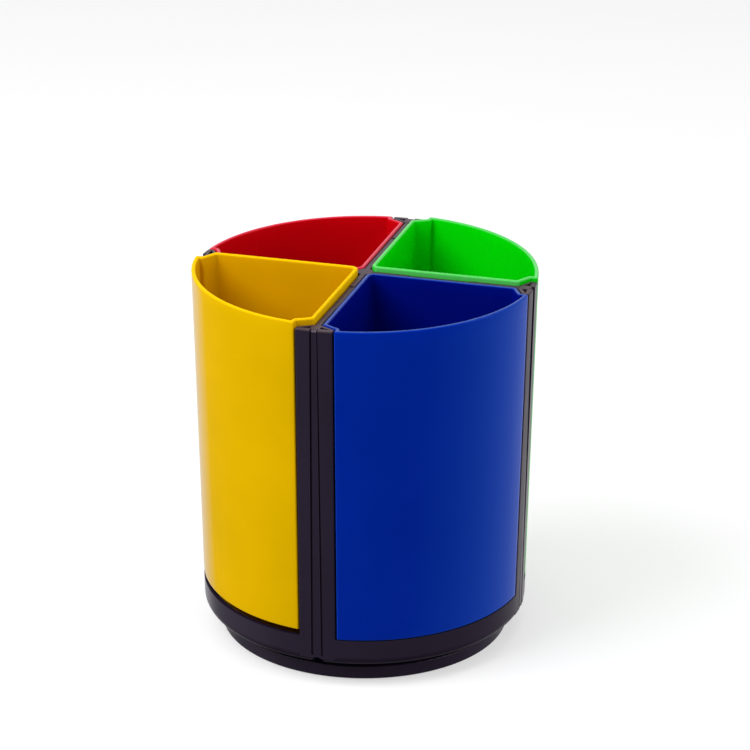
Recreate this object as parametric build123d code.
from build123d import *
import os
from math import sqrt, sin, cos, radians

# Revolving desk caddy: four coloured quarter cups stand in a black cross frame
# that turns on a round foot.  Units are millimetres, +Z is up, the origin is the
# centre of the resting face, and Z is the turning axis.  The four arms of the
# cross lie along +X, +Y, -X and -Y.

# ---- overall heights -------------------------------------------------------
POST_TOP = 127.4        # top of the four posts
WALL_TOP = 127.3        # top of the cross walls and the column between them
CUP_RIM = 127.6         # rim of a cup that is pushed fully home
LEDGE_Z = 17.5          # top edge of the frame's lower band
BAND_Z0 = 7.7           # lowest edge of the band
FLOOR_Z0 = 8.4          # underside of the frame floor
FLOOR_Z1 = 10.2         # top of the frame floor
OVERLAP = 0.2           # how far joined bodies of the frame run into each other
ARM_Z0 = FLOOR_Z1 - OVERLAP     # where walls, posts and column start
YELLOW_PROUD = 1.9      # the yellow cup is not pushed fully home
GREEN_PROUD = 1.1       # nor, quite, is the green one

# ---- drafted outer skin: a shallow cone, flush across cups, posts and band --
R_TOP = 58.0            # skin radius at the cup rim
R_LEDGE = 56.0          # skin radius at the top of the lower band
SLOPE = (R_TOP - R_LEDGE) / (CUP_RIM - LEDGE_Z)

# ---- cross walls and column ------------------------------------------------
ARM_HALF_TOP = 1.0      # half thickness of a cross wall at the top
ARM_HALF_FLOOR = 2.0    # half thickness of a cross wall at the floor
WALL_IN_POST = 1.0      # how far a wall runs into its post
WALL_TOP_R = 0.4        # rounded top edges of the walls
DIP_R0, DIP_R1, DIP_DEPTH = 15.0, 36.0, 0.3   # dip in the top edge of each wall
DIP_W = 6.0             # width of the dip's cutter
COLUMN_R_TOP = 2.8      # round column where the four walls meet
COLUMN_R_FLOOR = 4.1

# ---- posts -----------------------------------------------------------------
POST_HALF = 6.2         # half width of a post's outer face
POST_EDGE = 2.2         # thickness of a post's two flanges at their edges
SKIN_SAG = 0.35         # allowance for the skin's curve across half a post
FLANGE_BACK = POST_EDGE + SKIN_SAG      # depth of the flanges' rear corners
POST_ROOT = 5.4         # depth from the skin to where the flanges meet the wall
POST_REACH = 4.0        # a post's blank stands this far outside the skin
POST_MID_Z = 68.0       # height near the middle of a post
POST_TOP_R = 0.3        # rounded top edges
STRIP_RECESS = 0.5      # centre strip of each post, set back between two slots;
STRIP_RECESS_FOOT = 0.06    # the step fades out downwards
STRIP_BEVEL = 1.0       # bevel at the top of the strip, side of the cutting square
SLOT_Y_TOP, SLOT_Y_FOOT = 1.12, 1.70    # distance of each slot from the middle
SLOT_W_TOP, SLOT_W_FOOT = 0.45, 0.70    # width of each slot
SLOT_DEPTH, SLOT_DEPTH_FOOT = 1.5, 0.8
SLOT_Z0 = 11.1          # lower end of the slots
SLOT_REACH = 62.0       # outer x of the slot cutter
POCKET_PLATE = 1.8      # the post's hollow openings: outer plate,
POCKET_WEB = 1.1        # sloping web,
POCKET_RIB = 0.6        # and extra half thickness of the middle rib
POCKET_DEEP = 40.0

# ---- lower band ------------------------------------------------------------
BAND_T = 1.4            # thickness of the band
BAND_DRAFT = 0.1        # extra thickness of the band at the floor
BAND_FILLET = 3.6       # rounded lower edge of the band
BAND_LIP, BAND_LIP_FOOT = 1.6, 1.2      # inner side of the lip under the band
ARCH_R = 1.9            # small arch in the band's lowest edge, below each post
ARCH_RISE = 0.9         # its centre above that edge
ARCH_X, ARCH_LENGTH = 55.0, 10.0

# ---- cups ------------------------------------------------------------------
CUP_T = 1.4             # wall thickness at the rim
CUP_FLOOR_T = 1.8
CUP_GAP_SIDE = 0.35     # play between a cup and the cross walls
CUP_GAP_POST = 0.40     # play between a cup and a post
CUP_GAP_LEDGE = 0.25    # shadow gap above the lower band
CUP_SEAT = 0.05         # a cup rests this far above the frame floor
CUP_FOOT_R = 52.0       # top of the stepped-in foot, well inside the band
CUP_FOOT_R0 = CUP_FOOT_R - 0.15     # the same at its bottom
CUP_FOOT_T = CUP_T + 0.25           # thickness of the foot's round wall
CUP_FOOT_LAP = 0.5      # how far the foot runs up into the upper body
CUP_NOSE_R = 3.0        # rounding of the cup's corner beside the column
CUP_REACH = 66.0        # outer x and y of the cup's blank
CUP_OVERSHOOT = 2.0     # the hollow's cutter runs this far above the rim
CUP_Z0 = FLOOR_Z1 + CUP_SEAT
CUP_STEP_Z = LEDGE_Z + CUP_GAP_LEDGE        # where the foot steps in
CUP_FLOOR_Z = CUP_Z0 + CUP_FLOOR_T
SHOULDER_Z0 = CUP_STEP_Z - 0.4      # sloping shoulder inside the cup
SHOULDER_Z1 = CUP_STEP_Z + 2.4

# ---- foot ------------------------------------------------------------------
FOOT_R_TOP = 50.2
FOOT_R_BOTTOM = 49.8
FOOT_Z0 = 0.4           # lowest edge of the foot; the pads stand proud of it
FOOT_EDGE_Z = 5.25      # top of the foot's outer edge
NECK_R = 46.5           # stepped-in neck that leaves a dark slit under the band
FOOT_Z1 = 6.9           # top of the foot inside the neck
FOOT_SKIN = 2.0
COLLAR_R0, COLLAR_R1 = 8.2, 8.4     # collar round the spigot, bottom and top
COLLAR_RISE = 0.15      # its lowest face above the end of the spigot
RIB_W = 1.3             # stiffening ribs
RIB_Z0 = 2.6
RIB_SINK = 1.0          # ribs and bosses end this far below the foot's top face
RIB_R0, RIB_R1 = 8.0, 45.6              # ribs under the neck
EDGE_RIB_R0, EDGE_RIB_R1 = 45.0, 48.6   # short ribs under the outer edge
PAD_R, PAD_T = 5.0, 1.3
PAD_PLAY = 0.1
PAD_BOSS_WALL = 1.4
PAD_RING_R = 38.0

# ---- bearing and pivot -----------------------------------------------------
BALL_R = 1.5
BALL_RING_R = 34.0
BALL_N = 12
BALL_Z = (FLOOR_Z0 + FOOT_Z1) / 2       # midway between frame floor and foot
RACE_R = 1.7            # groove radius of the two moulded ball tracks
RACE_PLAY = 0.05
RACE_OFFSET = BALL_R + RACE_PLAY - RACE_R   # groove centre above or below BALL_Z
CAGE_T, CAGE_W = 0.8, 7.2
CAGE_PLAY = 0.1
HUB_R = 4.5             # spigot under the frame that turns in the foot
HUB_Z0 = 3.0
HUB_PLAY = 0.08
WASHER_R, WASHER_T = 7.4, 0.8
WASHER_HOLE_R = 1.7
SCREW_CORE_R, SCREW_THREAD_R = 1.1, 1.45
SCREW_PITCH = 1.1
SCREW_PLAIN = 1.4       # unthreaded length below the head
SCREW_HOLE_R = 1.5
SCREW_HOLE_SPARE = 1.5  # the hole runs this far past the tip
SCREW_TIP_Z = 15.5
SCREW_TIP_R, SCREW_TIP_LENGTH = 0.25, 1.0
SCREW_HEAD_R, SCREW_HEAD_Z0 = 2.9, 0.7
RECESS_L, RECESS_W, RECESS_H = 3.0, 0.55, 1.1   # one bar of the cross recess
RECESS_RISE = 0.35      # its centre above the head's outer face
RECESS_TURN = 20


# ---------------------------------------------------------------------------
# Helpers
# ---------------------------------------------------------------------------
def skin(z):
    """Radius of the outer skin at height z."""
    return R_LEDGE + (z - LEDGE_Z) * SLOPE


def between(z, z0, value0, z1, value1):
    """Value at height z on the straight line through two given heights."""
    return value0 + (value1 - value0) * (z - z0) / (z1 - z0)


def arm_half(z):
    """Half thickness of a cross wall at height z."""
    return between(z, FLOOR_Z1, ARM_HALF_FLOOR, POST_TOP, ARM_HALF_TOP)


def web_line(z, offset):
    """The sloping back of a +X post at height z, moved out by offset:
    a point x, y on it and its run in x per unit of y."""
    root_x, root_y = skin(z) - POST_ROOT, arm_half(z)
    dx = POST_ROOT - FLANGE_BACK
    dy = POST_HALF - root_y
    length = sqrt(dx ** 2 + dy ** 2)
    return root_x - dy / length * offset, root_y + dx / length * offset, dx / dy


def ruled(points0, z0, points1, z1):
    """Straight-sided solid between two polygons with the same corners."""
    ends = [(Plane.XY.offset(z) * make_face(Polyline(*points, close=True))).face()
            for points, z in ((points0, z0), (points1, z1))]
    return loft(ends, ruled=True)


def frustum(r0, z0, r1, z1):
    return Pos(0, 0, (z0 + z1) / 2) * Cone(r0, r1, z1 - z0)


def rod(radius, z0, z1):
    return Pos(0, 0, (z0 + z1) / 2) * Cylinder(radius, z1 - z0)


def turned(points):
    """Solid of revolution about Z from a closed (radius, z) outline."""
    with BuildPart() as part:
        with BuildSketch(Plane.XZ):
            with BuildLine():
                Polyline(*points, close=True)
            make_face()
        revolve(axis=Axis.Z)
    return part.part


def ring(count, radius=0, start=0):
    """Evenly spaced places round the Z axis, the first at angle start."""
    return [Rot(0, 0, 360 / count * k + start) * Pos(radius, 0, 0) for k in range(count)]


def try_fillet(part, edges, sizes):
    """Round the edges with the first of the given radii that they take."""
    if not edges:
        return part
    for radius in sizes:
        # guards against a radius the kernel can't build; the next one is tried
        try:
            done = fillet(edges, radius)
            if done.is_valid and len(done.solids()) == len(part.solids()):
                return done
        except Exception:
            pass
    return part


def long_edges(part, test, min_length):
    """Edges above a length whose centre passes the test."""
    return [e for e in part.edges() if e.length > min_length and test(e.center())]


def z_min(edge):
    return edge.bounding_box().min.Z


def z_max(edge):
    return edge.bounding_box().max.Z


# ---------------------------------------------------------------------------
# Frame: floor, lower band, cross walls, posts and turning spigot, one moulding
# ---------------------------------------------------------------------------
def make_tray():
    """Floor and lower band."""
    fillet_z = BAND_Z0 + BAND_FILLET
    fillet_x = skin(fillet_z) - BAND_FILLET
    arc_middle = (fillet_x + BAND_FILLET * cos(radians(45)),
                  fillet_z - BAND_FILLET * sin(radians(45)))
    band_inner = R_LEDGE - BAND_T
    with BuildPart() as tray:
        with BuildSketch(Plane.XZ):
            with BuildLine():
                Polyline((0, FLOOR_Z0), (fillet_x - BAND_LIP, FLOOR_Z0),
                         (fillet_x - BAND_LIP_FOOT, BAND_Z0), (fillet_x, BAND_Z0))
                ThreePointArc((fillet_x, BAND_Z0), arc_middle,
                              (fillet_x + BAND_FILLET, fillet_z))
                Polyline((fillet_x + BAND_FILLET, fillet_z), (R_LEDGE, LEDGE_Z),
                         (band_inner, LEDGE_Z), (band_inner - BAND_DRAFT, FLOOR_Z1),
                         (0, FLOOR_Z1), (0, FLOOR_Z0))
            make_face()
        revolve(axis=Axis.Z)
    return Rot(0, 0, 45) * tray.part      # keeps the seam away from the arms


def make_wall():
    """Cross wall along +X."""
    top_half = between(WALL_TOP, ARM_Z0, ARM_HALF_FLOOR, POST_TOP, ARM_HALF_TOP)

    def points(z, half):
        end = skin(z) - POST_ROOT + WALL_IN_POST
        return [(0, -half), (end, -half), (end, half), (0, half)]

    wall = ruled(points(ARM_Z0, ARM_HALF_FLOOR), ARM_Z0, points(WALL_TOP, top_half), WALL_TOP)
    long_top = [e for e in wall.edges()
                if e.center().Z > WALL_TOP - 0.01
                and abs(abs(e.center().Y) - top_half) < 0.01]
    return try_fillet(wall, long_top, [WALL_TOP_R, 0.25])


def make_post():
    """Post at the end of the +X wall, before its slots and hollows are cut."""
    def points(z, half):
        root, back, front = skin(z) - POST_ROOT, skin(z) - FLANGE_BACK, skin(z) + POST_REACH
        return [(root, -half), (back, -POST_HALF), (front, -POST_HALF),
                (front, POST_HALF), (back, POST_HALF), (root, half)]

    post = ruled(points(ARM_Z0, ARM_HALF_FLOOR), ARM_Z0,
                 points(POST_TOP, ARM_HALF_TOP), POST_TOP)
    # the half turn keeps the cone's seam away from the post
    z0, z1 = ARM_Z0 - 1, POST_TOP + 1
    post = post & (Rot(0, 0, 180) * frustum(skin(z0), z0, skin(z1), z1))

    flange_edges = [e for e in post.edges()
                    if abs(abs(e.center().Y) - POST_HALF) < 0.05 and e.length > 100
                    and e.center().X > skin(POST_MID_Z) - 1.6]
    post = try_fillet(post, flange_edges, [0.5, 0.3])
    top_edges = [e for e in post.edges()
                 if z_min(e) > POST_TOP - 0.01
                 and e.center().X > skin(POST_TOP) - POST_ROOT + 0.1]
    return try_fillet(post, top_edges, [POST_TOP_R, 0.2])


def make_slot_cutter():
    """Cuts the recessed centre strip and the narrow slot on each side of it."""
    def points(z, recess, depth):
        y = between(z, SLOT_Z0, SLOT_Y_FOOT, POST_TOP, SLOT_Y_TOP)
        half = between(z, SLOT_Z0, SLOT_W_FOOT, POST_TOP, SLOT_W_TOP) / 2
        strip, bottom = skin(z) - recess, skin(z) - depth
        return [(SLOT_REACH, -y - half), (bottom, -y - half), (bottom, -y + half),
                (strip, -y + half), (strip, y - half), (bottom, y - half),
                (bottom, y + half), (SLOT_REACH, y + half)]

    z1 = POST_TOP + 1
    return ruled(points(SLOT_Z0, STRIP_RECESS_FOOT, SLOT_DEPTH_FOOT), SLOT_Z0,
                 points(z1, STRIP_RECESS, SLOT_DEPTH), z1)


def make_pocket(side):
    """Three-cornered hollow in the top of a post, on its +Y or -Y side."""
    def points(z):
        web_x, web_y, run = web_line(z, -POCKET_WEB)
        rib_y, plate_x = arm_half(z) + POCKET_RIB, skin(z) - POCKET_PLATE
        rib_x = web_x + (rib_y - web_y) * run
        tip_y = web_y + (plate_x - web_x) / run
        corners = [(plate_x, side * rib_y), (rib_x, side * rib_y), (plate_x, side * tip_y)]
        return corners if side < 0 else corners[::-1]

    z0, z1 = POST_TOP - POCKET_DEEP, POST_TOP + 0.5
    return ruled(points(z0), z0, points(z1), z1)


def make_frame():
    frame = make_tray()
    frame += rod(HUB_R, HUB_Z0, FLOOR_Z0 + OVERLAP)
    frame += Rot(0, 0, 45) * frustum(COLUMN_R_FLOOR, ARM_Z0, COLUMN_R_TOP, WALL_TOP)

    bevel = (Pos(skin(POST_TOP) - STRIP_RECESS, 0, POST_TOP) * Rot(0, 45, 0)
             * Box(STRIP_BEVEL, 2 * SLOT_Y_TOP, STRIP_BEVEL))
    arch = Pos(ARCH_X, 0, BAND_Z0 + ARCH_RISE) * Rot(0, 90, 0) * Cylinder(ARCH_R, ARCH_LENGTH)
    dip = (Pos((DIP_R0 + DIP_R1) / 2, 0, WALL_TOP)
           * Box(DIP_R1 - DIP_R0, DIP_W, 2 * DIP_DEPTH))
    cutters = [make_slot_cutter(), bevel, make_pocket(-1), make_pocket(1), arch, dip]

    arms = ring(4)
    for body in (make_wall(), make_post()):
        for arm in arms:
            frame += arm * body
    for arm in arms:
        for cutter in cutters:
            frame -= arm * cutter

    # ball track on the underside, and the blind hole for the pivot screw
    frame -= Pos(0, 0, BALL_Z + RACE_OFFSET) * Torus(BALL_RING_R, RACE_R)
    frame -= rod(SCREW_HOLE_R, HUB_Z0 - 1, SCREW_TIP_Z + SCREW_HOLE_SPARE)
    return frame


# ---------------------------------------------------------------------------
# Cup: quarter-round shell for the +X +Y quadrant, stepped in at the foot
# ---------------------------------------------------------------------------
def cup_prism(z0, z1, inset):
    """Straight faces of the cup, inset from its outer face.  The round side is
    left to the cone that the prism is cut with."""
    def points(z):
        side = arm_half(z) + CUP_GAP_SIDE + inset
        end = POST_HALF + CUP_GAP_POST + inset
        web_x, web_y, run = web_line(z, CUP_GAP_POST + inset)
        side_x = web_x + (side - web_y) * run
        end_x = web_x + (end - web_y) * run
        return [(side, side), (side_x, side), (end_x, end), (CUP_REACH, end),
                (CUP_REACH, CUP_REACH), (end, CUP_REACH), (end, end_x), (side, side_x)]

    return ruled(points(z0), z0, points(z1), z1)


def radius_of(point):
    return sqrt(point.X ** 2 + point.Y ** 2)


def make_cup_body():
    """Solid outer form of the cup."""
    lap_z = CUP_STEP_Z + CUP_FOOT_LAP
    upper = cup_prism(CUP_STEP_Z, CUP_RIM, 0.0) & frustum(
        skin(CUP_STEP_Z), CUP_STEP_Z, skin(CUP_RIM), CUP_RIM)
    lower = cup_prism(CUP_Z0, lap_z, 0.0) & frustum(CUP_FOOT_R0, CUP_Z0, CUP_FOOT_R, lap_z)

    # where the upright edges stand in plan
    def nose(c):
        return c.X < 6 and c.Y < 6

    def lip(c):
        return (c.X > 50 and 5.5 < c.Y < 8.5) or (c.Y > 50 and 5.5 < c.X < 8.5)

    def outer_lip(c):
        return lip(c) and radius_of(c) > skin(c.Z) - 0.7

    def inner_lip(c):
        return lip(c) and not outer_lip(c)

    def knee(c):
        return (c.X > 48 and c.Y < 4) or (c.Y > 48 and c.X < 4)

    upper = try_fillet(upper, long_edges(upper, nose, 60), [CUP_NOSE_R, 2.0])
    lower = try_fillet(lower, long_edges(lower, nose, 5), [CUP_NOSE_R, 2.0])
    upper = try_fillet(upper, long_edges(upper, outer_lip, 60), [0.5, 0.3])
    upper = try_fillet(upper, long_edges(upper, inner_lip, 60), [0.8, 0.4])
    upper = try_fillet(upper, long_edges(upper, knee, 60), [1.0, 0.5])
    return upper + lower


def make_cup_hollow():
    """The hollow: foot, sloping shoulder, main cavity."""
    top = CUP_RIM + CUP_OVERSHOOT
    foot_r = CUP_FOOT_R - CUP_FOOT_T
    shoulder_r = skin(SHOULDER_Z1) - CUP_T
    prism = cup_prism(CUP_FLOOR_Z, top, CUP_T)
    foot = prism & frustum(CUP_FOOT_R0 - CUP_FOOT_T, CUP_FLOOR_Z, foot_r, SHOULDER_Z0)
    shoulder = prism & frustum(foot_r, SHOULDER_Z0, shoulder_r, SHOULDER_Z1)
    main = prism & frustum(shoulder_r, SHOULDER_Z1, skin(top) - CUP_T, top)
    hollow = foot + shoulder + main

    def nose(c):
        return c.X < 7 and c.Y < 7

    def knee(c):
        return (c.X > 46 and c.Y < 6.5) or (c.Y > 46 and c.X < 6.5)

    hollow = try_fillet(hollow, long_edges(hollow, nose, 60), [1.6, 0.8])
    hollow = try_fillet(hollow, long_edges(hollow, knee, 60), [2.4, 1.5, 0.8])
    floor_edges = [e for e in hollow.edges() if abs(z_max(e) - CUP_FLOOR_Z) < 1e-3]
    return try_fillet(hollow, floor_edges, [1.5, 1.0, 0.6])


def make_cup():
    cup = make_cup_body() - make_cup_hollow()
    rim = [e for e in cup.edges() if z_min(e) > CUP_RIM - 1e-3]
    cup = try_fillet(cup, rim, [0.55, 0.45, 0.35, 0.25])
    # lower edge of the skin, above the band
    skin_edge = [e for e in cup.edges()
                 if abs(z_max(e) - CUP_STEP_Z) < 1e-3 and abs(z_min(e) - CUP_STEP_Z) < 1e-3
                 and e.length > 40 and radius_of(e @ 0.5) > skin(CUP_STEP_Z) - 0.6]
    cup = try_fillet(cup, skin_edge, [0.4, 0.25])
    bottom = [e for e in cup.edges() if z_max(e) < CUP_Z0 + 1e-3]
    return try_fillet(cup, bottom, [0.7, 0.4])


# ---------------------------------------------------------------------------
# Foot, pads, ball bearing, pivot
# ---------------------------------------------------------------------------
def make_rib(r0, r1, z1):
    return Pos((r0 + r1) / 2, 0, (RIB_Z0 + z1) / 2) * Box(r1 - r0, RIB_W, z1 - RIB_Z0)


def make_foot():
    bore = HUB_R + HUB_PLAY
    collar_z = HUB_Z0 + COLLAR_RISE
    foot = turned([
        (bore, collar_z), (COLLAR_R0, collar_z),
        (COLLAR_R1, FOOT_Z1 - FOOT_SKIN),
        (NECK_R - FOOT_SKIN, FOOT_Z1 - FOOT_SKIN),
        (NECK_R - FOOT_SKIN, FOOT_EDGE_Z - FOOT_SKIN),
        (FOOT_R_TOP - FOOT_SKIN, FOOT_EDGE_Z - FOOT_SKIN),
        (FOOT_R_BOTTOM - FOOT_SKIN + 0.2, FOOT_Z0),
        (FOOT_R_BOTTOM, FOOT_Z0), (FOOT_R_TOP, FOOT_EDGE_Z),
        (NECK_R, FOOT_EDGE_Z), (NECK_R, FOOT_Z1), (bore, FOOT_Z1)])
    outer = [e for e in foot.edges() if e.bounding_box().max.X > FOOT_R_BOTTOM - 0.05]
    foot = try_fillet(foot, outer, [0.35, 0.25])
    # eight stiffening ribs, in two lengths, and four pad bosses under the top skin
    for place in ring(8, start=22.5):
        foot += place * make_rib(RIB_R0, RIB_R1, FOOT_Z1 - RIB_SINK)
        foot += place * make_rib(EDGE_RIB_R0, EDGE_RIB_R1, FOOT_EDGE_Z - RIB_SINK)
    pad_places = ring(4, PAD_RING_R, 45)
    for place in pad_places:
        foot += place * rod(PAD_R + PAD_BOSS_WALL, FOOT_Z0, FOOT_Z1 - RIB_SINK)
    for place in pad_places:
        foot -= place * rod(PAD_R + PAD_PLAY, 0, PAD_T)
    foot -= Pos(0, 0, BALL_Z - RACE_OFFSET) * Torus(BALL_RING_R, RACE_R)
    return foot


def make_pads():
    pad = rod(PAD_R, 0, PAD_T)
    pad = try_fillet(pad, pad.edges().sort_by(Axis.Z)[:1], [0.3])
    return Compound([place * pad for place in ring(4, PAD_RING_R, 45)])


def make_cage():
    z0, z1 = BALL_Z - CAGE_T / 2, BALL_Z + CAGE_T / 2
    cage = (rod(BALL_RING_R + CAGE_W / 2, z0, z1)
            - rod(BALL_RING_R - CAGE_W / 2, z0 - 0.5, z1 + 0.5))
    for place in ring(BALL_N, BALL_RING_R):
        cage -= place * rod(BALL_R + CAGE_PLAY, z0 - 0.5, z1 + 0.5)
    return cage


def make_balls():
    return Compound([place * Pos(0, 0, BALL_Z) * Sphere(BALL_R)
                     for place in ring(BALL_N, BALL_RING_R)])


def make_washer():
    z0 = HUB_Z0 - WASHER_T
    washer = rod(WASHER_R, z0, HUB_Z0)
    washer -= rod(WASHER_HOLE_R, z0 - 0.5, HUB_Z0 + 0.5)
    outer = [e for e in washer.edges()
             if e.bounding_box().max.X > 5 and e.geom_type == GeomType.CIRCLE]
    return try_fillet(washer, outer, [0.15])


def make_screw():
    """Pan-head pivot screw with a cross recess; the thread is a stack of ridges."""
    under_head = HUB_Z0 - WASHER_T
    points = [(0, SCREW_HEAD_Z0), (SCREW_HEAD_R - 0.7, SCREW_HEAD_Z0),
              (SCREW_HEAD_R, SCREW_HEAD_Z0 + 0.6), (SCREW_HEAD_R, under_head),
              (SCREW_CORE_R, under_head)]
    z = under_head + SCREW_PLAIN
    while z + SCREW_PITCH < SCREW_TIP_Z - 1.2:
        points += [(SCREW_CORE_R, z),
                   (SCREW_THREAD_R, z + SCREW_PITCH * 0.35),
                   (SCREW_THREAD_R, z + SCREW_PITCH * 0.45),
                   (SCREW_CORE_R, z + SCREW_PITCH * 0.8)]
        z += SCREW_PITCH
    points += [(SCREW_CORE_R, SCREW_TIP_Z - SCREW_TIP_LENGTH),
               (SCREW_TIP_R, SCREW_TIP_Z), (0, SCREW_TIP_Z)]
    screw = turned(points)
    for angle in (0, 90):
        screw -= (Rot(0, 0, angle + RECESS_TURN) * Pos(0, 0, SCREW_HEAD_Z0 + RECESS_RISE)
                  * Box(RECESS_L, RECESS_W, RECESS_H))
    return screw


cup = make_cup()
pieces = {
    "foot_base": make_foot(),
    "foot_pads": make_pads(),
    "ball_cage": make_cage(),
    "bearing_balls": make_balls(),
    "pivot_washer": make_washer(),
    "pivot_screw": make_screw(),
    "cross_frame": make_frame(),
    "green_cup": Pos(0, 0, GREEN_PROUD) * cup,
    "red_cup": Rot(0, 0, 90) * cup,
    "yellow_cup": Pos(0, 0, YELLOW_PROUD) * Rot(0, 0, 180) * cup,
    "blue_cup": Rot(0, 0, 270) * cup,
}
os.makedirs("parts", exist_ok=True)
for name, piece in pieces.items():
    export_step(piece, f"parts/{name}.step")
